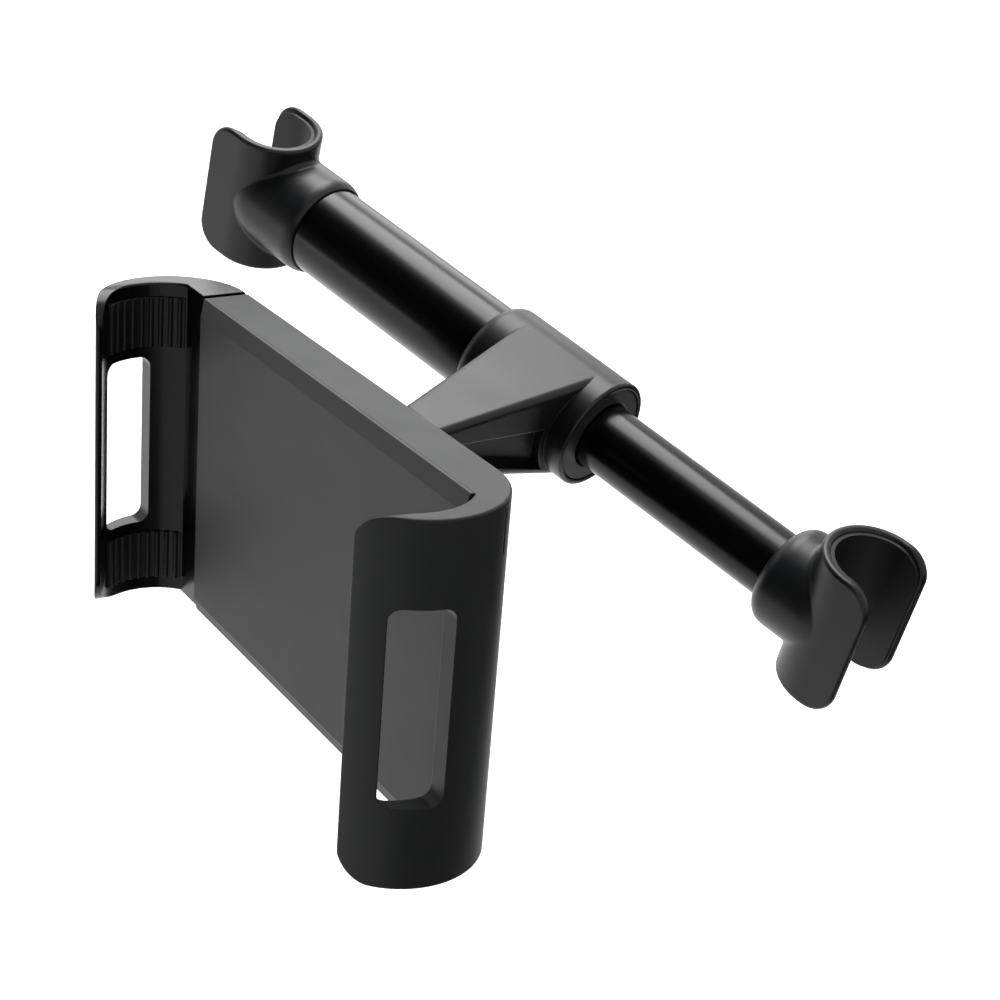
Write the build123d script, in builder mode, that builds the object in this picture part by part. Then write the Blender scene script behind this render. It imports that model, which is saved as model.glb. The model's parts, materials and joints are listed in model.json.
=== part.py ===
from build123d import *
import os
from math import cos, radians, sin, sqrt

os.makedirs("parts", exist_ok=True)

# Headrest tablet mount. Millimetres, +X along the crossbar, +Y towards the seat, +Z up the posts.
# The origin is the axis of the headrest post in the left hook, level with the crossbar.

# Crossbar
post_spacing = 184.6
outer_tube_radius = 11.0
outer_tube_wall = 1.2
inner_tube_radius = 7.75
inner_tube_wall = 1.1
outer_tube_start = 10.8
inner_tube_start = 76.3
tube_socket_depth = 9.5

# Post hooks
hook_height = 34.0
hook_outer_radius = 11.5
left_hook_leg = 9.4
right_hook_leg = 7.4
hook_wall = 2.0
hook_corner_radius = 6.5
hook_edge_radius = 0.9
liner_thickness = 0.9
liner_inset = 0.8
left_collar_radius = 12.4
left_collar_end = 22.1
left_collar_nose = 3.1
right_collar_radius = 11.75
right_collar_end = 19.4
right_collar_nose = 4.0
collar_rim = 0.4
fairing_start = 7.0
fairing_end = -4.0
fairing_radius = 8.5
fairing_blend = 1.5

# Arm on the crossbar
barrel_radius = 13.2
barrel_length = 35.0
barrel_end_x = 113.2
barrel_lip = 2.1
barrel_rounding = 3.2
sleeve_thickness = 0.6
arm_offset = 2.7
arm_tilt = 9.7
arm_taper = 9.7
arm_root_width = 24.4
arm_root_shift = 1.4
arm_tip_width = 10.8
arm_tip_deepening = 1.2
arm_length = 47.5
arm_edge_radius = 1.6
arm_recess_depth = 2.2
arm_recess_gap = 1.4
arm_recess_top = 1.1
arm_recess_skin = 1.7

# Tube guide, clip and twist lock
guide_length = 12.0
guide_flange = 2.2
clip_thickness = 1.0
clip_depth = 0.5
lock_spindle_radius = 4.8
lock_spindle_length = 12.0
lock_flange = 1.5
lock_plug_depth = 10.0
expander_slot_width = 2.4
expander_slot_height = 8.0
expander_slot_inset = 2.0
expander_flute_radius = 0.7

# Ball joint
ball_radius = 6.0
ball_reach = 60.3
neck_radius = 2.4
shank_radius = 2.2
shank_depth = 9.0
seat_thickness = 0.8
back_angle = 180.0
cup_angle = 62.0
seat_low_angle = 57.0
seat_high_angle = 74.0
mouth_radius = 5.65
socket_radius = 8.8
ring_radius = 11.0
ring_height = 4.9
ring_foot = 0.9
ring_lobes = 12
ring_lobe_radius = 1.1

# Attitude of the holder on the ball
holder_pan = -17.5
holder_lift = 7.8
holder_spin = -14.5

# Tablet holder
body_width = 109.8
body_height = 73.4
body_thickness = 10.2
cover_thickness = 1.9
cover_seat = 0.3
cover_bevel_width = 3.4
cover_bevel_depth = 1.3
cover_end_bevel = 1.2
socket_u = -9.7
socket_v = 16.4
back_wall = 1.8
side_wall = 2.2
guide_wall = 5.0
jaw_outer_radius = 16.5
jaw_inner_radius = 12.7
jaw_inner_shift_u = 0.5
jaw_inner_shift_n = 2.8
jaw_lip = 5.2
jaw_setback = 5.7
jaw_lip_corner = 8.0
jaw_lip_rounding = 0.6
jaw_edge_radius = 0.6
jaw_base_length = 7.5
jaw_gap = 0.35
window_height = 39.4
window_depth = 11.2
window_centre = 12.1
window_corner = 2.4
slot_angle = 40.0
slot_width = 0.7
slot_depth = 1.2
slot_length = 9.0
slot_drop = 1.5
pad_low = 22.2
pad_high = 33.4
pad_thickness = 0.7
rib_radius = 0.55
rib_count = 9
rib_step = 9.6
pad_middle = 2.0
pad_bed = 0.5

# Sliding rods, bridge and springs
rod_radius = 2.0
rod_margin = 12.7
rod_level = 4.8
rod_grip = 5.0
bridge_length = 4.0
bridge_height = 5.4
bridge_margin = 4.0
bridge_rounding = 1.5
rod_upset = 0.7
rod_upset_length = 0.9
spring_radius = 3.1
spring_bore = 2.3
end_stop = 5.0

# Screws
boss_radius = 2.5
boss_margin_u = 9.1
boss_margin_v = 5.1
boss_joint = 4.4
screw_radius = 1.1
screw_head_radius = 2.0
screw_head_height = 1.2

# Clearances
turning_clearance = 0.05
ring_clearance = 0.10
seat_clearance = 0.05
free_gap = 0.35

# Places that follow from the sizes above
outer_tube_bore = outer_tube_radius - outer_tube_wall
inner_tube_bore = inner_tube_radius - inner_tube_wall
outer_tube_end = barrel_end_x - guide_flange - 0.3
barrel_start_x = barrel_end_x - barrel_length
arm_x = (barrel_start_x + barrel_end_x) / 2 + arm_offset
right_collar_x = post_spacing - right_collar_end
inner_tube_end = right_collar_x + tube_socket_depth
cavity_radius = ball_radius + seat_thickness + 2 * turning_clearance
ball_level = body_thickness + cavity_radius
barrel_bore = outer_tube_radius + turning_clearance + sleeve_thickness
liner_radius = hook_outer_radius - hook_wall - liner_thickness

boss_u = body_width / 2 - boss_margin_u
boss_v = body_height / 2 - boss_margin_v
rod_spread = body_height - 2 * rod_margin

arm_place = Location((arm_x, 0, 0)) * Rot(X=-arm_tilt)
ball_place = arm_place * Location((0, -ball_reach, 0))
socket_place = ball_place * Rot(Z=holder_pan) * Rot(X=holder_lift) * Rot(Y=holder_spin)
holder_place = socket_place * Location((-socket_u, -ball_level, -socket_v))


def across(place, distance):
    """Plane square to the local Y axis, that distance along +Y, with its Y axis upright."""
    local = Plane((0, distance, 0), x_dir=(-1, 0, 0), z_dir=(0, 1, 0))
    return Plane(place * local.location)


def level(place, height):
    """Plane square to the local Z axis at that height."""
    return Plane(place * Location((0, 0, height)))


def endwise(place, distance):
    """Plane square to the local X axis at that distance."""
    return Plane(place * Plane.YZ.offset(distance).location)


# Outer tube of the crossbar, grooved for the clip that holds the barrel
with BuildPart() as outer_tube:
    with BuildSketch(Plane.YZ.offset(outer_tube_start)):
        Circle(outer_tube_radius)
        Circle(outer_tube_bore, mode=Mode.SUBTRACT)
    extrude(amount=outer_tube_end - outer_tube_start)
    clip_x = barrel_start_x + barrel_lip + free_gap
    with BuildSketch(Plane.YZ.offset(clip_x)):
        Circle(outer_tube_radius + 1)
        Circle(outer_tube_radius - clip_depth, mode=Mode.SUBTRACT)
    extrude(amount=clip_thickness, mode=Mode.SUBTRACT)

# Clip in the groove, split at the bottom
with BuildPart() as barrel_clip:
    with BuildSketch(Plane.YZ.offset(clip_x)):
        Circle(barrel_bore - ring_clearance)
        Circle(outer_tube_radius - clip_depth, mode=Mode.SUBTRACT)
        with Locations((0, -outer_tube_radius)):
            Rectangle(4, 5, mode=Mode.SUBTRACT)
    extrude(amount=clip_thickness)

# Flanged guide pressed into the end of the outer tube, where the inner tube comes out
with BuildPart() as tube_guide:
    guide_x = outer_tube_end - guide_length
    with BuildSketch(Plane.XY):
        with BuildLine():
            Polyline(
                (guide_x, inner_tube_radius + turning_clearance),
                (guide_x, outer_tube_bore - 0.4),
                (guide_x + 0.6, outer_tube_bore),
                (outer_tube_end, outer_tube_bore),
                (outer_tube_end, barrel_bore + 0.2),
                (barrel_end_x - 0.5, barrel_bore + 0.2),
                (barrel_end_x - 0.2, barrel_bore - 0.1),
                (barrel_end_x - 0.2, inner_tube_radius + 0.6),
                (barrel_end_x - 0.8, inner_tube_radius + turning_clearance),
                close=True,
            )
        make_face()
    revolve(axis=Axis.X)


def channel_outline(half_width, leg):
    """Channel outline open towards -X, as one closed face centred on the post axis."""
    with BuildSketch() as outline:
        with BuildLine():
            Line((-leg, -half_width), (0, -half_width))
            ThreePointArc((0, -half_width), (half_width, 0), (0, half_width))
            Line((0, half_width), (-leg, half_width))
            Line((-leg, half_width), (-leg, -half_width))
        make_face()
    return outline.sketch


def hook_shell(facing, post_x, leg, collar, bore_radius, bore_end):
    """Post hook with its tube collar; facing is 1 with the channel open towards -X."""
    seat = hook_outer_radius - hook_wall
    collar_radius, collar_end, nose = collar
    with BuildPart() as shell:
        with BuildSketch(Plane.XY.offset(-hook_height / 2)):
            add(channel_outline(hook_outer_radius, leg))
        extrude(amount=hook_height)
        legs = shell.edges().filter_by(Axis.Y).group_by(Axis.X)[0]
        fillet(legs, hook_corner_radius)
        # Collar with a rounded nose and a fairing that dies out on the legs
        with BuildSketch(Plane.XY):
            with BuildLine():
                cylinder_end = (collar_end - nose, collar_radius)
                cylinder_start = (fairing_start, collar_radius)
                fairing_foot = (fairing_end, fairing_radius)
                Line((fairing_end, 0), (collar_end, 0))
                Line((collar_end, 0), (collar_end, bore_radius + collar_rim))
                TangentArc(cylinder_end, (collar_end, bore_radius + collar_rim), tangent=(1, 0))
                Line(cylinder_end, cylinder_start)
                TangentArc(cylinder_start, fairing_foot, tangent=(-1, 0))
                Line(fairing_foot, (fairing_end, 0))
            make_face()
        revolve(axis=Axis.X)
        seams = shell.edges(Select.NEW)
        fillet(seams, fairing_blend)
        # Channel for the post and its liner
        with BuildSketch(Plane.XY.offset(-hook_height)):
            add(channel_outline(seat, leg + 1))
        extrude(amount=2 * hook_height, mode=Mode.SUBTRACT)
        # Bore for the tube
        with BuildSketch(Plane.YZ.offset(bore_end)):
            Circle(bore_radius)
        extrude(amount=collar_end - bore_end + 1, mode=Mode.SUBTRACT)
        rims = shell.faces().filter_by(Axis.Z).edges()
        fillet(rims, hook_edge_radius)
    turned = shell.part if facing == 1 else shell.part.mirror(Plane.YZ)
    return turned.moved(Location((post_x, 0, 0)))


def hook_liner(facing, post_x, leg):
    """Rubber lining of the channel, a little lower than the hook."""
    outer = hook_outer_radius - hook_wall
    with BuildPart() as lining:
        height = hook_height - 2 * liner_inset
        with BuildSketch(Plane.XY.offset(-height / 2)):
            add(channel_outline(outer, leg - liner_inset))
        extrude(amount=height)
        legs = lining.edges().filter_by(Axis.Y).group_by(Axis.X)[0]
        fillet(legs, hook_corner_radius)
        with BuildSketch(Plane.XY.offset(-hook_height)):
            add(channel_outline(liner_radius, leg + 1))
        extrude(amount=2 * hook_height, mode=Mode.SUBTRACT)
    turned = lining.part if facing == 1 else lining.part.mirror(Plane.YZ)
    return turned.moved(Location((post_x, 0, 0)))


with BuildPart() as left_hook:
    collar = (left_collar_radius, left_collar_end, left_collar_nose)
    add(hook_shell(1, 0, left_hook_leg, collar, outer_tube_radius, outer_tube_start))

with BuildPart() as right_hook:
    collar = (right_collar_radius, right_collar_end, right_collar_nose)
    bore_end = right_collar_end - tube_socket_depth
    add(hook_shell(-1, post_spacing, right_hook_leg, collar, inner_tube_radius, bore_end))

with BuildPart() as left_hook_liner:
    add(hook_liner(1, 0, left_hook_leg))

with BuildPart() as right_hook_liner:
    add(hook_liner(-1, post_spacing, right_hook_leg))

# Inner tube
with BuildPart() as inner_tube:
    with BuildSketch(Plane.YZ.offset(inner_tube_start)):
        Circle(inner_tube_radius)
        Circle(inner_tube_bore, mode=Mode.SUBTRACT)
    extrude(amount=inner_tube_end - inner_tube_start)

# Lock plug pressed into the inner tube, with the spindle that its expander sits on
with BuildPart() as lock_plug:
    spindle_x = inner_tube_start - 1.5 - lock_spindle_length
    with BuildSketch(Plane.XY):
        with BuildLine():
            Polyline(
                (spindle_x - lock_flange, 0),
                (spindle_x - lock_flange, lock_spindle_radius + 2),
                (spindle_x, lock_spindle_radius + 2),
                (spindle_x, lock_spindle_radius),
                (spindle_x + lock_spindle_length, lock_spindle_radius),
                (spindle_x + lock_spindle_length, inner_tube_radius),
                (inner_tube_start, inner_tube_radius),
                (inner_tube_start, inner_tube_bore),
                (inner_tube_start + lock_plug_depth, inner_tube_bore),
                (inner_tube_start + lock_plug_depth, 0),
                close=True,
            )
        make_face()
    revolve(axis=Axis.X)

# Split expander that bears on the outer tube
with BuildPart() as lock_expander:
    with BuildSketch(Plane.YZ.offset(spindle_x + 0.15)):
        Circle(outer_tube_bore - ring_clearance)
        Circle(lock_spindle_radius + turning_clearance, mode=Mode.SUBTRACT)
        with Locations((0, outer_tube_bore - expander_slot_inset)):
            Rectangle(expander_slot_width, expander_slot_height, mode=Mode.SUBTRACT)
        with PolarLocations(outer_tube_bore, 7, start_angle=130, angular_range=280, endpoint=True):
            Circle(expander_flute_radius, mode=Mode.SUBTRACT)
    extrude(amount=lock_spindle_length - 0.3)

# Wedge of the arm, tangent to the barrel above and below
spread = radians(arm_taper)


def arm_half_height(distance):
    """Half the height of the wedge at a distance from the bar axis."""
    return (barrel_radius - distance * sin(spread)) / cos(spread)


def arm_wedge(inset):
    """Wedge from the barrel to the tip, its root a little towards the left hook, narrowed by the inset."""
    root = barrel_radius * sin(spread)
    with BuildPart() as wedge:
        with BuildSketch(across(arm_place, -root)):
            with Locations((arm_root_shift, 0)):
                Rectangle(arm_root_width - 2 * inset, 2 * arm_half_height(root))
        with BuildSketch(across(arm_place, -arm_length)):
            with Locations((0, -arm_tip_deepening / 2)):
                Rectangle(arm_tip_width - 2 * inset, 2 * arm_half_height(arm_length) + arm_tip_deepening)
        loft()
        if inset == 0:
            back = wedge.faces().sort_by(arm_axis)[-1]
            fillet(wedge.edges() - back.edges(), arm_edge_radius)
    return wedge.part


arm_axis = Axis(across(arm_place, 0).origin, across(arm_place, 0).z_dir)

# Recess in each lower side of the arm, stopping at a rim round the barrel
with BuildPart() as arm_recess:
    with BuildSketch(endwise(arm_place, -arm_root_width)):
        near = barrel_radius / 2
        far = arm_length - 2.4
        with BuildLine():
            Polyline(
                (-near, arm_recess_top),
                (-far, arm_recess_top),
                (-far, arm_recess_skin - arm_half_height(far)),
                (-near, arm_recess_skin - arm_half_height(near)),
                close=True,
            )
        make_face()
        Circle(barrel_radius + arm_recess_gap, mode=Mode.SUBTRACT)
    extrude(amount=2 * arm_root_width)
    add(arm_wedge(arm_recess_depth), mode=Mode.SUBTRACT)

# Barrel and tapered arm, one moulding
with BuildPart() as arm_housing:
    with BuildSketch(Plane.YZ.offset(barrel_start_x)):
        Circle(barrel_radius)
    extrude(amount=barrel_length)
    fillet(arm_housing.edges().group_by(Axis.X)[0], barrel_rounding)
    fillet(arm_housing.edges().group_by(Axis.X)[-1], 0.7)
    add(arm_wedge(0))
    add(arm_recess.part, mode=Mode.SUBTRACT)
    # Bore for the tube, wider behind the lip for the clip and the sleeve
    with BuildSketch(Plane.YZ.offset(barrel_start_x - 1)):
        Circle(outer_tube_radius + turning_clearance)
    extrude(amount=barrel_length + 2, mode=Mode.SUBTRACT)
    with BuildSketch(Plane.YZ.offset(barrel_start_x + barrel_lip)):
        Circle(barrel_bore)
    extrude(amount=barrel_length, mode=Mode.SUBTRACT)
    with BuildSketch(Plane.YZ.offset(outer_tube_end - 0.1)):
        Circle(barrel_bore + 0.2 + ring_clearance)
    extrude(amount=guide_flange + 2, mode=Mode.SUBTRACT)
    # Hole for the ball stud
    with BuildSketch(across(arm_place, -arm_length - 1)):
        Circle(shank_radius)
    extrude(amount=shank_depth + 1, mode=Mode.SUBTRACT)

# Friction sleeve inside the barrel
with BuildPart() as barrel_sleeve:
    with BuildSketch(Plane.YZ.offset(clip_x + clip_thickness + free_gap)):
        Circle(barrel_bore)
        Circle(outer_tube_radius + turning_clearance, mode=Mode.SUBTRACT)
    extrude(amount=outer_tube_end - 0.5 - clip_x - clip_thickness - free_gap)

# Ball stud
with BuildPart() as ball_stud:
    with BuildSketch(level(arm_place, 0)):
        with BuildLine():
            Polyline(
                (0, shank_depth - arm_length),
                (shank_radius, shank_depth - arm_length),
                (shank_radius, -arm_length),
                (neck_radius + 1.2, -arm_length),
                (neck_radius + 1.2, -arm_length - 1.0),
                (neck_radius, -arm_length - 2.2),
                (neck_radius, -ball_reach),
                (0, -ball_reach),
                close=True,
            )
        make_face()
    revolve(axis=arm_axis)
    with Locations(ball_place):
        Sphere(ball_radius)


def on_sphere(radius, angle):
    """Point of the joint's section at an angle from the axis towards the bar."""
    return (radius * sin(radians(angle)), radius * cos(radians(angle)))


socket_axis = Axis(across(socket_place, 0).origin, across(socket_place, 0).z_dir)
seat_inner = ball_radius + seat_clearance
seat_outer = seat_inner + seat_thickness

# Friction cup behind the ball
with BuildPart() as ball_cup:
    with BuildSketch(level(socket_place, 0)):
        with BuildLine():
            rim = back_angle - cup_angle
            Line(on_sphere(seat_inner, back_angle), on_sphere(seat_outer, back_angle))
            ThreePointArc(
                on_sphere(seat_outer, back_angle),
                on_sphere(seat_outer, (back_angle + rim) / 2),
                on_sphere(seat_outer, rim),
            )
            Line(on_sphere(seat_outer, rim), on_sphere(seat_inner, rim))
            ThreePointArc(
                on_sphere(seat_inner, rim),
                on_sphere(seat_inner, (back_angle + rim) / 2),
                on_sphere(seat_inner, back_angle),
            )
        make_face()
    revolve(axis=socket_axis)

# Friction ring in front of the ball, under the lock ring
with BuildPart() as ball_seat:
    with BuildSketch(level(socket_place, 0)):
        middle = (seat_low_angle + seat_high_angle) / 2
        with BuildLine():
            ThreePointArc(
                on_sphere(seat_inner, seat_low_angle),
                on_sphere(seat_inner, middle),
                on_sphere(seat_inner, seat_high_angle),
            )
            Line(on_sphere(seat_inner, seat_high_angle), on_sphere(seat_outer, seat_high_angle))
            ThreePointArc(
                on_sphere(seat_outer, seat_high_angle),
                on_sphere(seat_outer, middle),
                on_sphere(seat_outer, seat_low_angle),
            )
            Line(on_sphere(seat_outer, seat_low_angle), on_sphere(seat_inner, seat_low_angle))
        make_face()
    revolve(axis=socket_axis)

# Lock ring with finger flutes, screwed over the socket
with BuildPart() as lock_ring:
    foot = ring_foot - cavity_radius
    mouth_level = sqrt(cavity_radius**2 - mouth_radius**2)
    with BuildSketch(level(socket_place, 0)):
        with BuildLine():
            Polyline(
                (cavity_radius, ring_clearance * 2),
                (socket_radius + ring_clearance, ring_clearance * 2),
                (socket_radius + ring_clearance, foot),
                (ring_radius, foot),
                (ring_radius, ring_height - 1.2),
                (ring_radius - 1.2, ring_height),
                (mouth_radius + 1.6, ring_height),
                (mouth_radius, mouth_level),
            )
            ThreePointArc(
                (mouth_radius, mouth_level),
                on_sphere(cavity_radius, 70),
                (cavity_radius, ring_clearance * 2),
            )
        make_face()
    revolve(axis=socket_axis)
    with BuildSketch(across(socket_place, foot - 1)):
        with PolarLocations(ring_radius + 0.3, ring_lobes):
            Circle(ring_lobe_radius)
    extrude(amount=ring_height - foot + 2, mode=Mode.SUBTRACT)

# Section of a jaw
jaw_centre_u = body_width / 2 - jaw_setback
jaw_centre_n = body_thickness - jaw_outer_radius
inner_centre_u = jaw_centre_u - jaw_inner_shift_u
inner_centre_n = jaw_centre_n - jaw_inner_shift_n
inner_start_u = inner_centre_u + sqrt(jaw_inner_radius**2 - (cover_seat - inner_centre_n) ** 2)
lip_u = jaw_centre_u + jaw_lip


def jaw_outline():
    """Section of the right jaw: a hook that thins towards its lip."""
    lip_outer = jaw_centre_n - sqrt(jaw_outer_radius**2 - jaw_lip**2)
    lip_inner = inner_centre_n - sqrt(jaw_inner_radius**2 - (lip_u - inner_centre_u) ** 2)
    with BuildSketch() as outline:
        with BuildLine():
            ThreePointArc(
                (jaw_centre_u, body_thickness),
                (jaw_centre_u + jaw_outer_radius, jaw_centre_n),
                (lip_u, lip_outer),
            )
            Line((lip_u, lip_outer), (lip_u, lip_inner))
            ThreePointArc(
                (lip_u, lip_inner),
                (inner_centre_u + jaw_inner_radius, inner_centre_n),
                (inner_start_u, cover_seat),
            )
            Line((inner_start_u, cover_seat), (jaw_centre_u, cover_seat))
            Line((jaw_centre_u, cover_seat), (jaw_centre_u, body_thickness))
        make_face()
        fillet(outline.vertices().sort_by(Axis.Y)[:2], jaw_lip_rounding)
    return outline.sketch


def jaw_cuts():
    """What is cut from a jaw: its window, the beds of its pads and the corners of its lip."""
    with BuildPart() as cuts:
        with BuildSketch(Plane.YZ.offset(inner_centre_u)):
            with Locations((-window_centre, 0)):
                RectangleRounded(window_depth, window_height, window_corner)
        extrude(amount=2 * jaw_outer_radius)
        for low in (pad_low, -pad_high):
            with BuildSketch(Plane.XY.offset(low)):
                add(pad_sector(jaw_inner_radius - 1, jaw_inner_radius + pad_bed))
            extrude(amount=pad_high - pad_low)
        for side in (1, -1):
            corner_u = lip_u + jaw_lip_corner
            corner_v = side * (body_height / 2 - jaw_lip_corner)
            with BuildSketch(Plane.XZ.offset(-jaw_centre_n)):
                with Locations((corner_u - jaw_lip_corner / 2 - 1, corner_v + side * (jaw_lip_corner / 2 + 1))):
                    Rectangle(jaw_lip_corner + 2, jaw_lip_corner + 2)
                with Locations((corner_u, corner_v)):
                    Circle(jaw_lip_corner, mode=Mode.SUBTRACT)
            extrude(amount=2 * jaw_outer_radius)
    return cuts.part


def pad_sector(inner, outer):
    """Sector of a ring about the jaw's inner centre, where a pad lies."""
    half = rib_count * rib_step / 2
    with BuildSketch() as sector:
        with Locations((inner_centre_u, inner_centre_n)):
            Circle(outer)
            Circle(inner, mode=Mode.SUBTRACT)
        with BuildLine():
            reach = 2 * outer
            middle = radians(pad_middle)
            edge = radians(half)
            Polyline(
                (inner_centre_u, inner_centre_n),
                (inner_centre_u + reach * cos(middle - edge), inner_centre_n + reach * sin(middle - edge)),
                (inner_centre_u + reach * cos(middle), inner_centre_n + reach * sin(middle)),
                (inner_centre_u + reach * cos(middle + edge), inner_centre_n + reach * sin(middle + edge)),
                close=True,
            )
        make_face(mode=Mode.INTERSECT)
    return sector.sketch


def grip_pads():
    """Upper and lower rubber pad of the right jaw, ribbed up and down."""
    with BuildPart() as pads:
        for low in (pad_low, -pad_high):
            with BuildSketch(Plane.XY.offset(low)):
                add(pad_sector(jaw_inner_radius + pad_bed - pad_thickness, jaw_inner_radius + pad_bed))
                first = pad_middle - (rib_count - 1) * rib_step / 2
                with Locations((inner_centre_u, inner_centre_n)):
                    with PolarLocations(
                        jaw_inner_radius + pad_bed - pad_thickness,
                        rib_count,
                        start_angle=first,
                        angular_range=(rib_count - 1) * rib_step,
                        endpoint=True,
                    ):
                        Circle(rib_radius)
            extrude(amount=pad_high - pad_low)
    return pads.part


cuts = jaw_cuts()
shifted_place = holder_place * Location((-jaw_base_length, 0, 0))
rod_centres = ((rod_level, rod_spread / 2), (rod_level, -rod_spread / 2))
cavity_left = guide_wall - body_width / 2
cavity_right = jaw_centre_u + side_wall

# Rear housing with the fixed right jaw and the ball socket
with BuildPart() as rear_housing:
    with BuildSketch(level(holder_place, -body_height / 2)):
        with Locations(((jaw_centre_u - body_width / 2) / 2, (body_thickness + cover_seat) / 2)):
            Rectangle(jaw_centre_u + body_width / 2, body_thickness - cover_seat)
        add(jaw_outline())
    extrude(amount=body_height)
    rims = rear_housing.edges().filter_by(GeomType.CIRCLE).sort_by(SortBy.RADIUS)
    fillet(rims[-4:], jaw_edge_radius)
    add(cuts.moved(holder_place), mode=Mode.SUBTRACT)
    # Hollow behind the cover
    with BuildSketch(across(holder_place, cover_seat - 1)):
        with Locations((-(cavity_left + cavity_right) / 2, 0)):
            Rectangle(cavity_right - cavity_left, body_height - 2 * side_wall)
    extrude(amount=body_thickness - back_wall - cover_seat + 1, mode=Mode.SUBTRACT)
    # Ball socket
    with BuildSketch(across(socket_place, -cavity_radius - back_wall / 2)):
        Circle(socket_radius)
    extrude(amount=cavity_radius + back_wall / 2)
    with Locations(socket_place):
        Sphere(cavity_radius, mode=Mode.SUBTRACT)
    # Screw bosses
    with BuildSketch(across(holder_place, boss_joint)):
        with GridLocations(2 * boss_u, 2 * boss_v, 2, 2):
            Circle(boss_radius)
    extrude(amount=body_thickness - back_wall - boss_joint + 0.2)
    with BuildSketch(across(holder_place, boss_joint - 1)):
        with GridLocations(2 * boss_u, 2 * boss_v, 2, 2):
            Circle(screw_radius + turning_clearance)
    extrude(amount=body_thickness, mode=Mode.SUBTRACT)
    with BuildSketch(across(holder_place, body_thickness - screw_head_height - 0.2)):
        with GridLocations(2 * boss_u, 2 * boss_v, 2, 2):
            Circle(screw_head_radius + turning_clearance)
    extrude(amount=screw_head_height + 1, mode=Mode.SUBTRACT)
    # Guide bores for the rods
    with BuildSketch(endwise(holder_place, cavity_left + 1)):
        with Locations(*rod_centres):
            Circle(rod_radius + turning_clearance)
    extrude(amount=-guide_wall - 2, mode=Mode.SUBTRACT)
    # Short slot at the top of the outer wall of the jaw
    slot_u = jaw_centre_u + jaw_outer_radius * cos(radians(slot_angle))
    slot_n = jaw_centre_n + jaw_outer_radius * sin(radians(slot_angle))
    with BuildSketch(level(holder_place, body_height / 2 - slot_length - slot_drop)):
        with Locations((slot_u, slot_n)):
            Rectangle(2 * slot_depth, slot_width, rotation=slot_angle)
    extrude(amount=slot_length, mode=Mode.SUBTRACT)

# Front cover with bevelled edges and four screw posts
with BuildPart() as front_cover:
    cover_left = -body_width / 2
    cover_right = inner_start_u - 0.15
    with BuildSketch(across(holder_place, cover_seat)):
        with Locations((-(cover_left + cover_right) / 2, 0)):
            Rectangle(cover_right - cover_left, body_height)
    extrude(amount=-(cover_thickness - cover_bevel_depth))
    land = cover_seat - cover_thickness + cover_bevel_depth
    with BuildSketch(across(holder_place, land)):
        with Locations((-(cover_left + cover_right) / 2, 0)):
            Rectangle(cover_right - cover_left, body_height)
    with BuildSketch(across(holder_place, cover_seat - cover_thickness)):
        with Locations((-(cover_left + cover_end_bevel + cover_right) / 2, 0)):
            Rectangle(cover_right - cover_left - cover_end_bevel, body_height - 2 * cover_bevel_width)
    loft()
    with BuildSketch(across(holder_place, cover_seat)):
        with GridLocations(2 * boss_u, 2 * boss_v, 2, 2):
            Circle(boss_radius)
    extrude(amount=boss_joint - cover_seat)
    with BuildSketch(across(holder_place, 0.8)):
        with GridLocations(2 * boss_u, 2 * boss_v, 2, 2):
            Circle(screw_radius)
    extrude(amount=boss_joint, mode=Mode.SUBTRACT)

# Four screws put in from the back
with BuildPart() as cover_screws:
    head_seat = body_thickness - screw_head_height - 0.2
    with BuildSketch(across(holder_place, head_seat)):
        with GridLocations(2 * boss_u, 2 * boss_v, 2, 2):
            Circle(screw_head_radius)
    extrude(amount=screw_head_height)
    with BuildSketch(across(holder_place, 1.2)):
        with GridLocations(2 * boss_u, 2 * boss_v, 2, 2):
            Circle(screw_radius)
    extrude(amount=head_seat - 1.2)
    with BuildSketch(across(holder_place, head_seat + screw_head_height)):
        with GridLocations(2 * boss_u, 2 * boss_v, 2, 2):
            Rectangle(2.4, 0.5)
            Rectangle(0.5, 2.4)
    extrude(amount=-0.6, mode=Mode.SUBTRACT)

# Sliding left jaw, the mirror of the fixed one, with a block that takes the rods
jaw_face_u = body_width / 2 + jaw_gap
with BuildPart() as left_jaw:
    with BuildSketch(level(shifted_place, -body_height / 2)):
        add(jaw_outline().mirror(Plane.YZ))
    extrude(amount=body_height)
    rims = left_jaw.edges().filter_by(GeomType.CIRCLE).sort_by(SortBy.RADIUS)
    fillet(rims[-4:], jaw_edge_radius)
    with BuildSketch(level(holder_place, -body_height)):
        with Locations((body_width / 2 - jaw_face_u, 0)):
            Rectangle(body_width, 4 * body_thickness)
    extrude(amount=2 * body_height, mode=Mode.SUBTRACT)
    add(cuts.mirror(Plane.YZ).moved(shifted_place), mode=Mode.SUBTRACT)
    with BuildSketch(endwise(holder_place, 1 - jaw_face_u)):
        with Locations(*rod_centres):
            Circle(rod_radius)
    extrude(amount=-rod_grip - 1, mode=Mode.SUBTRACT)

with BuildPart() as right_grip_pads:
    add(grip_pads().moved(holder_place))

with BuildPart() as left_grip_pads:
    add(grip_pads().mirror(Plane.YZ).moved(shifted_place))

# Guide rods fixed in the jaw, upset at their inner ends
bridge_u = cavity_right - end_stop
with BuildPart() as guide_rods:
    with BuildSketch(endwise(holder_place, -jaw_face_u - rod_grip)):
        with Locations(*rod_centres):
            Circle(rod_radius)
    extrude(amount=bridge_u + jaw_face_u + rod_grip)
    with BuildSketch(endwise(holder_place, bridge_u)):
        with Locations(*rod_centres):
            Circle(rod_radius + rod_upset)
    extrude(amount=rod_upset_length)

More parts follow.
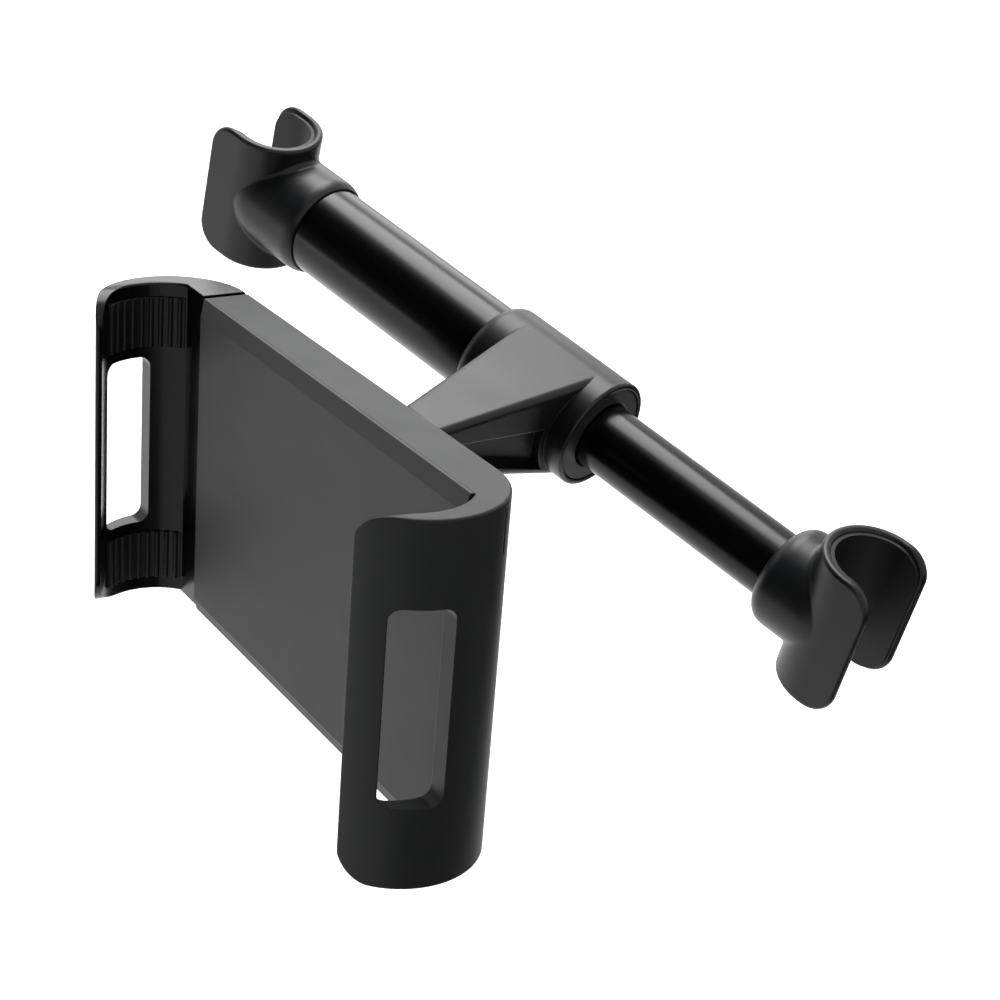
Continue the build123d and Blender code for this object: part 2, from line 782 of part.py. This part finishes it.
# Bridge that joins the rods and pushes on the springs
with BuildPart() as rod_bridge:
    with BuildSketch(endwise(holder_place, bridge_u - bridge_length)):
        with Locations((rod_level, 0)):
            RectangleRounded(bridge_height, rod_spread + 2 * bridge_margin, bridge_rounding)
        with Locations(*rod_centres):
            Circle(rod_radius, mode=Mode.SUBTRACT)
    extrude(amount=bridge_length)

# Compression springs on the rods, as sleeves of the coils' size
with BuildPart() as jaw_springs:
    spring_end = bridge_u - bridge_length
    with BuildSketch(endwise(holder_place, cavity_left + 0.1)):
        with Locations(*rod_centres):
            Circle(spring_radius)
            Circle(spring_bore, mode=Mode.SUBTRACT)
    extrude(amount=spring_end - cavity_left - 0.2)

# Labels and files
outer_tube.part.label = "outer_tube"
export_step(outer_tube.part, "parts/outer_tube.step")
barrel_clip.part.label = "barrel_clip"
export_step(barrel_clip.part, "parts/barrel_clip.step")
tube_guide.part.label = "tube_guide"
export_step(tube_guide.part, "parts/tube_guide.step")
left_hook.part.label = "left_hook"
export_step(left_hook.part, "parts/left_hook.step")
left_hook_liner.part.label = "left_hook_liner"
export_step(left_hook_liner.part, "parts/left_hook_liner.step")
inner_tube.part.label = "inner_tube"
export_step(inner_tube.part, "parts/inner_tube.step")
lock_plug.part.label = "lock_plug"
export_step(lock_plug.part, "parts/lock_plug.step")
lock_expander.part.label = "lock_expander"
export_step(lock_expander.part, "parts/lock_expander.step")
right_hook.part.label = "right_hook"
export_step(right_hook.part, "parts/right_hook.step")
right_hook_liner.part.label = "right_hook_liner"
export_step(right_hook_liner.part, "parts/right_hook_liner.step")
arm_housing.part.label = "arm_housing"
export_step(arm_housing.part, "parts/arm_housing.step")
barrel_sleeve.part.label = "barrel_sleeve"
export_step(barrel_sleeve.part, "parts/barrel_sleeve.step")
ball_stud.part.label = "ball_stud"
export_step(ball_stud.part, "parts/ball_stud.step")
ball_cup.part.label = "ball_cup"
export_step(ball_cup.part, "parts/ball_cup.step")
ball_seat.part.label = "ball_seat"
export_step(ball_seat.part, "parts/ball_seat.step")
lock_ring.part.label = "lock_ring"
export_step(lock_ring.part, "parts/lock_ring.step")
rear_housing.part.label = "rear_housing"
export_step(rear_housing.part, "parts/rear_housing.step")
front_cover.part.label = "front_cover"
export_step(front_cover.part, "parts/front_cover.step")
cover_screws.part.label = "cover_screws"
export_step(cover_screws.part, "parts/cover_screws.step")
right_grip_pads.part.label = "right_grip_pads"
export_step(right_grip_pads.part, "parts/right_grip_pads.step")
left_jaw.part.label = "left_jaw"
export_step(left_jaw.part, "parts/left_jaw.step")
left_grip_pads.part.label = "left_grip_pads"
export_step(left_grip_pads.part, "parts/left_grip_pads.step")
guide_rods.part.label = "guide_rods"
export_step(guide_rods.part, "parts/guide_rods.step")
rod_bridge.part.label = "rod_bridge"
export_step(rod_bridge.part, "parts/rod_bridge.step")
jaw_springs.part.label = "jaw_springs"
export_step(jaw_springs.part, "parts/jaw_springs.step")
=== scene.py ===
import bpy
import json
from math import pi
from mathutils import Matrix, Vector


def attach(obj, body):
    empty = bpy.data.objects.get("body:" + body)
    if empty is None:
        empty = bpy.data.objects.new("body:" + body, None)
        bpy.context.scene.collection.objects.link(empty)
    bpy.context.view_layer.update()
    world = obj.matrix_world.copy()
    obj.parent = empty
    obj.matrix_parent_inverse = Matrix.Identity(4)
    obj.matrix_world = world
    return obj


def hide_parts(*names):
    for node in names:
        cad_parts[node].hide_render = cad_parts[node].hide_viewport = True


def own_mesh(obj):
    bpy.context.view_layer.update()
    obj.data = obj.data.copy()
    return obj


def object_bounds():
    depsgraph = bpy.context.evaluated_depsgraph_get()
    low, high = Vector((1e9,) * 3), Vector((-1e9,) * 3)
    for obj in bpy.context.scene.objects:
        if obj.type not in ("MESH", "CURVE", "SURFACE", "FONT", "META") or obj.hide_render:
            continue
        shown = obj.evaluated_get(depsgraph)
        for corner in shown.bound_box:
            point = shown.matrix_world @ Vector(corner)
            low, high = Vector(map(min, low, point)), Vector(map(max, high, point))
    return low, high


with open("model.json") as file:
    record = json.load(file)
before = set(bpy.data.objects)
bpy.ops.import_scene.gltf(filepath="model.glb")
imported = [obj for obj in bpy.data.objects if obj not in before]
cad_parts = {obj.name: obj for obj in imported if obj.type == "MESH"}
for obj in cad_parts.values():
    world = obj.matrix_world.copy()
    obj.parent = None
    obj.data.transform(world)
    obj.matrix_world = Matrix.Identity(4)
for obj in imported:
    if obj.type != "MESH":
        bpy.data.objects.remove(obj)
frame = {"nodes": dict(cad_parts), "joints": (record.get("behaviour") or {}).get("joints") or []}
cad_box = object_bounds()
nodes = frame["nodes"]
MM = 0.001


bpy.context.scene.view_settings.view_transform = "Standard"


# Camera, at the place and with the lens that the photograph's perspective gives
camera_place = (0.3228, -0.3365, 0.2851)
camera_right = (0.7043, 0.6796, 0.2054)
camera_back = (0.4462, -0.6487, 0.6165)
camera_lens = 79.2


def set_camera():
    data = bpy.data.cameras.new("view")
    camera = bpy.data.objects.new("view", data)
    bpy.context.scene.collection.objects.link(camera)
    data.sensor_width = 36.0
    data.lens = camera_lens
    data.clip_start = 0.01
    data.clip_end = 20.0
    right = Vector(camera_right).normalized()
    back = Vector(camera_back).normalized()
    up = back.cross(right).normalized()
    right = up.cross(back)
    turn = Matrix((right, up, back)).transposed().to_4x4()
    camera.matrix_world = Matrix.Translation(camera_place) @ turn
    bpy.context.scene.camera = camera


set_camera()


# Colour and node helpers
def srgb(code):
    """sRGB hex colour as linear RGBA."""
    values = [int(code[i:i + 2], 16) / 255 for i in (1, 3, 5)]
    return [v / 12.92 if v <= 0.04045 else ((v + 0.055) / 1.055) ** 2.4 for v in values] + [1.0]


def new_material(name):
    material = bpy.data.materials.new(name)
    material.use_nodes = True
    material.node_tree.nodes.clear()
    return material


def add_node(tree, kind, settings=None, **links):
    """Adds a node, sets its properties and sockets, and links the sockets that come as a node's output."""
    node = tree.nodes.new(kind)
    for key, value in (settings or {}).items():
        setattr(node, key, value)
    for key, value in links.items():
        socket = node.inputs[int(key[1:])] if key[0] == "_" else node.inputs[key.replace("_", " ")]
        if isinstance(value, bpy.types.NodeSocket):
            tree.links.new(value, socket)
        else:
            socket.default_value = value
    return node


# Span of the noise that the sheen follows, depth of the grain, and how far a drawn line is stretched
noise_low, noise_high = 0.3, 0.7
grain_relief = 0.02 * MM
line_relief = 0.01 * MM
line_stretch = 0.02
sheen_step = 0.05


def moulded(name, colour, darker, roughness, grain_mm, grain_depth, edge_mm, ior=1.5, spread=0.02,
            specular=0.5, mottle_mm=9.0):
    """Moulded polymer: a fine eroded grain from the tool, faint flow mottling and softened edges."""
    material = new_material(name)
    tree = material.node_tree
    place = add_node(tree, "ShaderNodeTexCoord").outputs["Object"]
    mottle = add_node(tree, "ShaderNodeTexNoise", Vector=place, Scale=1 / (mottle_mm * MM), Detail=3.0)
    grain = add_node(tree, "ShaderNodeTexNoise", Vector=place, Scale=1 / (grain_mm * MM), Detail=2.0)
    tone = add_node(tree, "ShaderNodeMix", {"data_type": "RGBA"}, _0=mottle.outputs[0],
                    _6=srgb(darker), _7=srgb(colour))
    sheen = add_node(tree, "ShaderNodeMapRange", _0=mottle.outputs[0], _1=noise_low, _2=noise_high,
                     _3=roughness - spread, _4=roughness + spread)
    edge = add_node(tree, "ShaderNodeBevel", {"samples": 6}, Radius=edge_mm * MM)
    bump = add_node(tree, "ShaderNodeBump", Strength=grain_depth, Distance=grain_relief,
                    Height=grain.outputs[0], Normal=edge.outputs[0])
    shader = add_node(tree, "ShaderNodeBsdfPrincipled", Base_Color=tone.outputs[2],
                      Roughness=sheen.outputs[0], IOR=ior, Specular_IOR_Level=specular,
                      Normal=bump.outputs[0])
    add_node(tree, "ShaderNodeOutputMaterial", Surface=shader.outputs[0])
    return material


def metal(name, colour, darker, roughness, line_mm, along, depth, edge_mm=0.15):
    """Drawn or ground metal: fine lines across one axis."""
    material = new_material(name)
    tree = material.node_tree
    place = add_node(tree, "ShaderNodeTexCoord").outputs["Object"]
    stretch = [1 / (line_mm * MM) * (line_stretch if axis == along else 1.0) for axis in range(3)]
    lines = add_node(tree, "ShaderNodeMapping", Vector=place, Scale=stretch)
    grain = add_node(tree, "ShaderNodeTexNoise", Vector=lines.outputs[0], Scale=1.0, Detail=2.0)
    tone = add_node(tree, "ShaderNodeMix", {"data_type": "RGBA"}, _0=grain.outputs[0],
                    _6=srgb(darker), _7=srgb(colour))
    sheen = add_node(tree, "ShaderNodeMapRange", _0=grain.outputs[0], _1=noise_low, _2=noise_high,
                     _3=roughness - sheen_step, _4=roughness + sheen_step)
    edge = add_node(tree, "ShaderNodeBevel", {"samples": 4}, Radius=edge_mm * MM)
    bump = add_node(tree, "ShaderNodeBump", Strength=depth, Distance=line_relief,
                    Height=grain.outputs[0], Normal=edge.outputs[0])
    shader = add_node(tree, "ShaderNodeBsdfPrincipled", Base_Color=tone.outputs[2], Metallic=1.0,
                      Roughness=sheen.outputs[0], Normal=bump.outputs[0])
    add_node(tree, "ShaderNodeOutputMaterial", Surface=shader.outputs[0])
    return material


# Black ABS with a spark-eroded satin: soft wide highlights, charcoal where the light grazes it
satin_abs = moulded("abs_satin_black", "#1a1b1d", "#161719", 0.36, 0.35, 0.3, 0.35, ior=1.36)
# The holder's shell: the same black ABS, more matt, with a slightly paler black that is painted light lifting
# its faces; even charcoal, without clear highlights
shell_abs_painted_paler = moulded("abs_satin_shell_painted_paler", "#2a2b2c", "#272829", 0.45, 0.35, 0.3, 0.35, ior=1.28)
# Polished ABS of the sliding jaw: near black, with clear lights along its edges
gloss_abs = moulded("abs_polished_black", "#0d0d0e", "#090909", 0.25, 0.8, 0.05, 0.3, ior=1.32)
# Grey soft-touch lacquer of the front cover: flat and even, hardly any highlight
soft_lacquer = moulded("soft_touch_lacquer_grey", "#4a4a4a", "#474747", 0.62, 0.3, 0.25, 0.25,
                       specular=0.35)
# Black e-coat on drawn steel tube: smooth satin that draws a long soft band of light
tube_coat = moulded("steel_tube_black_coat", "#060707", "#040505", 0.24, 0.6, 0.1, 0.2, ior=1.32, spread=0.01)
# Black EPDM rubber of liners and pads: dull, with a trace of bloom
rubber = moulded("epdm_rubber_black", "#0c0c0c", "#0a0a0a", 0.5, 0.5, 0.3, 0.15, ior=1.36)
# Natural black nylon of hidden and sliding guides
nylon = moulded("nylon_black", "#232426", "#1c1d1e", 0.45, 0.5, 0.2, 0.2)
# White acetal of the friction liners
acetal = moulded("acetal_natural", "#e6e4dc", "#dedbd2", 0.4, 0.6, 0.1, 0.15)
# Zinc-plated steel of the ball stud and clip
plated_steel = metal("zinc_plated_steel", "#b9bcbf", "#9da0a3", 0.3, 0.25, 1, 0.15)
# Ground and polished steel of the guide rods
ground_steel = metal("ground_steel_rod", "#c6c8ca", "#b2b4b6", 0.16, 0.12, 0, 0.1)
# Blackened steel of the screws
black_oxide = metal("black_oxide_steel", "#3a3a3c", "#2b2b2d", 0.38, 0.2, 1, 0.2)
# Spring wire, oil hardened
spring_wire = metal("spring_wire", "#8f9194", "#6f7174", 0.3, 0.2, 0, 0.1)

finishes = {
    "outer_tube": tube_coat,
    "inner_tube": tube_coat,
    "tube_guide": nylon,
    "left_hook": satin_abs,
    "right_hook": satin_abs,
    "left_hook_liner": rubber,
    "right_hook_liner": rubber,
    "arm_housing": satin_abs,
    "lock_ring": satin_abs,
    # The rear housing gets the black ABS whose paler tone is painted light
    "rear_housing": shell_abs_painted_paler,
    "front_cover": soft_lacquer,
    "left_jaw": gloss_abs,
    "left_grip_pads": rubber,
    "right_grip_pads": rubber,
    "cover_screws": black_oxide,
    "ball_stud": plated_steel,
    "barrel_clip": plated_steel,
    "guide_rods": ground_steel,
    "jaw_springs": spring_wire,
    "ball_cup": acetal,
    "ball_seat": acetal,
    "barrel_sleeve": acetal,
    "lock_plug": nylon,
    "lock_expander": nylon,
    "rod_bridge": nylon,
}
for node, finish in finishes.items():
    data = nodes[node].data
    data.materials.clear()
    data.materials.append(finish)


# Directions of the holder, from its joints: towards the fixed jaw, towards the seat, up the slab
axes = {joint["name"]: Vector(joint["axis"]).normalized() for joint in frame["joints"]}
along = -axes["jaw_slide"]
behind = axes["ball_spin"]
upright = along.cross(behind)


def extent(node, direction):
    """Lowest and highest reach of a node along a direction."""
    reach = [vertex.co.dot(direction) for vertex in nodes[node].data.vertices]
    return min(reach), max(reach)


# Coil springs on the guide rods
spring_wire_radius = 0.35 * MM
spring_turns = 15
wire_sides = 10
steps_per_turn = 24
smooth_angle = 0.9


def coil_spring(name, start, length, coil_radius, wire_radius, turns):
    """Round-wire compression spring that starts at a point and runs along the holder."""
    bpy.ops.object.select_all(action="DESELECT")
    bpy.ops.mesh.primitive_circle_add(vertices=wire_sides, radius=wire_radius, rotation=(pi / 2, 0, 0),
                                      location=(coil_radius, 0, wire_radius))
    spring = bpy.context.object
    spring.name = name
    bpy.ops.object.transform_apply(location=True, rotation=True, scale=True)
    wind = spring.modifiers.new("wind", "SCREW")
    wind.screw_offset = (length - 2 * wire_radius) / turns
    wind.iterations = turns
    wind.steps = steps_per_turn
    wind.render_steps = steps_per_turn
    bpy.ops.object.modifier_apply(modifier="wind")
    bpy.ops.object.mode_set(mode="EDIT")
    bpy.ops.mesh.select_all(action="SELECT")
    bpy.ops.mesh.remove_doubles(threshold=0.01 * MM)
    bpy.ops.mesh.fill_holes(sides=0)
    bpy.ops.mesh.select_all(action="SELECT")
    bpy.ops.mesh.normals_make_consistent(inside=False)
    bpy.ops.object.mode_set(mode="OBJECT")
    bpy.ops.object.shade_smooth_by_angle(angle=smooth_angle)
    spring.matrix_world = Matrix.Translation(start) @ along.to_track_quat("Z", "Y").to_matrix().to_4x4()
    bpy.ops.object.transform_apply(location=True, rotation=True, scale=True)
    return spring


def add_springs():
    """Both springs as one piece in place of the plain sleeves."""
    left, right = extent("jaw_springs", along)
    front, back = extent("jaw_springs", behind)
    low, high = extent("jaw_springs", upright)
    radius = (back - front) / 2
    pair = []
    for name, level in (("spring_low", low + radius), ("spring_high", high - radius)):
        start = left * along + (front + radius) * behind + level * upright
        pair.append(coil_spring(name, start, right - left, radius - spring_wire_radius,
                                spring_wire_radius, spring_turns))
    bpy.ops.object.select_all(action="DESELECT")
    for spring in pair:
        spring.select_set(True)
    bpy.context.view_layer.objects.active = pair[0]
    bpy.ops.object.join()
    coils = bpy.context.object
    coils.name = "jaw_spring_coils"
    coils.data.materials.append(spring_wire)
    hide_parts("jaw_springs")
    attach(coils, "holder")
    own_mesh(coils)


add_springs()


# Studio
def seen_as_backdrop(tree):
    """One for the rays that show the surroundings themselves: straight, reflected or through glass."""
    path = add_node(tree, "ShaderNodeLightPath").outputs
    mirrored = add_node(tree, "ShaderNodeMath", {"operation": "MAXIMUM"}, _0=path["Is Camera Ray"],
                        _1=path["Is Glossy Ray"])
    seen = add_node(tree, "ShaderNodeMath", {"operation": "MAXIMUM"}, _0=mirrored.outputs[0],
                    _1=path["Is Transmission Ray"])
    return seen.outputs[0]


def paper_material(name, shade, lift):
    """White paper: a diffuse sheet, with a lift added for the rays that show it as the backdrop."""
    material = new_material(name)
    tree = material.node_tree
    paper = add_node(tree, "ShaderNodeBsdfDiffuse", Color=srgb(shade))
    raised = add_node(tree, "ShaderNodeMath", {"operation": "MULTIPLY"}, _0=seen_as_backdrop(tree), _1=lift)
    glow = add_node(tree, "ShaderNodeEmission", Color=srgb("#ffffff"), Strength=raised.outputs[0])
    both = add_node(tree, "ShaderNodeAddShader", _0=paper.outputs[0], _1=glow.outputs[0])
    add_node(tree, "ShaderNodeOutputMaterial", Surface=both.outputs[0])
    return material


floor_level = -0.42
floor_half = 12.0
floor_shift = 0.1
floor_lift = 0.82


def add_floor():
    bpy.ops.object.select_all(action="DESELECT")
    bpy.ops.mesh.primitive_plane_add(size=2 * floor_half, location=(floor_shift, 0.0, floor_level))
    floor = bpy.context.object
    floor.name = "floor"
    bpy.ops.object.transform_apply(location=True, rotation=True, scale=True)
    floor.data.materials.append(paper_material("floor_paper", "#f2f2f2", floor_lift))


def add_softbox(name, direction, distance, width, height, power):
    """Rectangular lamp in a direction from the object's middle, turned to face it."""
    light = bpy.data.lights.new(name, "AREA")
    light.shape = "RECTANGLE"
    light.size = width
    light.size_y = height
    light.energy = power
    lamp = bpy.data.objects.new(name, light)
    bpy.context.scene.collection.objects.link(lamp)
    away = Vector(direction).normalized()
    lamp.location = middle + distance * away
    lamp.rotation_euler = (-away).to_track_quat("-Z", "Y").to_euler()
    return lamp


def add_flag(name, direction, distance, width, height):
    """Black velvet card that straight, diffuse and shadow rays pass: rounds that mirror it keep a dark core."""
    bpy.ops.object.select_all(action="DESELECT")
    bpy.ops.mesh.primitive_plane_add(size=1.0)
    card = bpy.context.object
    card.name = name
    away = Vector(direction).normalized()
    spread = Matrix.Diagonal((width, height, 1.0, 1.0))
    card.matrix_world = Matrix.Translation(middle + distance * away) @ \
        (-away).to_track_quat("Z", "Y").to_matrix().to_4x4() @ spread
    bpy.ops.object.transform_apply(location=True, rotation=True, scale=True)
    card.visible_camera = False
    card.visible_diffuse = False
    card.visible_shadow = False
    material = new_material("black_velvet")
    tree = material.node_tree
    velvet = add_node(tree, "ShaderNodeBsdfDiffuse", Color=srgb("#050505"))
    add_node(tree, "ShaderNodeOutputMaterial", Surface=velvet.outputs[0])
    card.data.materials.append(material)


def set_world(strength):
    world = bpy.data.worlds.new("studio")
    bpy.context.scene.world = world
    world.use_nodes = True
    tree = world.node_tree
    tree.nodes.clear()
    room = add_node(tree, "ShaderNodeBackground", Color=srgb("#ffffff"), Strength=strength)
    white = add_node(tree, "ShaderNodeBackground", Color=srgb("#ffffff"), Strength=1.0)
    both = add_node(tree, "ShaderNodeMixShader", _0=seen_as_backdrop(tree), _1=room.outputs[0],
                    _2=white.outputs[0])
    add_node(tree, "ShaderNodeOutputWorld", Surface=both.outputs[0])


middle = (Vector(cad_box[0]) + Vector(cad_box[1])) / 2
add_floor()
set_world(0.13)
add_softbox("overhead", (-0.45, 0.43, 0.785), 1.1, 0.6, 0.8, 15.5)
add_softbox("back_left", (-0.66, 0.74, 0.16), 1.2, 0.7, 0.5, 2.6)
add_softbox("front_low", (-0.5, -0.85, -0.12), 1.2, 0.7, 0.4, 1.9)
add_softbox("front_right", (0.9, -0.35, 0.3), 1.4, 0.4, 0.9, 0.4)
add_flag("front_flag", (-0.45, -0.69, 0.46), 0.9, 1.4, 1.5)
add_flag("right_flag", (0.72, -0.1, -0.6), 0.6, 0.9, 0.9)
add_flag("rear_flag", (0.4, 0.72, -0.55), 0.7, 0.9, 0.9)
